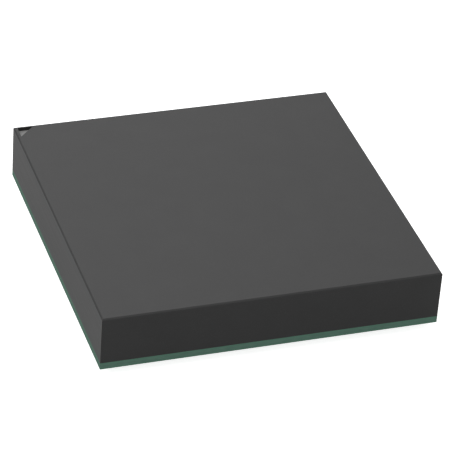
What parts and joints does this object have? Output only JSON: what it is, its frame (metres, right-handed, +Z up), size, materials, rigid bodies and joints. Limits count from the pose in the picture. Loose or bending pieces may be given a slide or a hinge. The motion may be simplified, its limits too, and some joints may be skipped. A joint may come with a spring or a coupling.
{
  "type": "ball grid array package",
  "caption": "Square black moulded chip package on a thin green substrate, with a small triangular recess at one top corner and solder balls in a square grid below.",
  "frame": {"origin": "centre of the seating plane that the balls stand on", "axes": "+Z up out of the marked top, +Y towards ball row A, -X towards ball column 1, so the index corner is at -X +Y"},
  "size_m": [0.008, 0.008, 0.0017],
  "materials": {
    "mould_compound": "matte, fine grained",
    "index_ink": "matte ink",
    "silicon": "polished",
    "passivation": "clear film",
    "pad_aluminium": "satin",
    "attach_film": "matte film",
    "bond_gold": "drawn wire",
    "plating": "plated",
    "copper": "etched",
    "laminate": "sawn edge",
    "via_fill": "cured resin",
    "solder_mask": "satin lacquer",
    "solder": "reflowed"
  },
  "bodies": {
    "root": {"mold_cap": "mould_compound", "index_mark": "index_ink", "die": "silicon", "die_passivation": "passivation", "die_pads": "pad_aluminium", "die_attach_film": "attach_film", "bond_wires_north": "bond_gold", "bond_wires_east": "bond_gold", "bond_wires_south": "bond_gold", "bond_wires_west": "bond_gold", "top_solder_mask": "solder_mask", "finger_plating": "plating", "top_copper": "copper", "substrate_core": "laminate", "via_barrels": "copper", "via_plugs": "via_fill", "bottom_copper": "copper", "land_plating": "plating", "bottom_solder_mask": "solder_mask", "balls_row_a": "solder", "balls_row_b": "solder", "balls_row_c": "solder", "balls_row_d": "solder", "balls_row_e": "solder", "balls_row_f": "solder", "balls_row_g": "solder", "balls_row_h": "solder"}
  },
  "joints": []
}
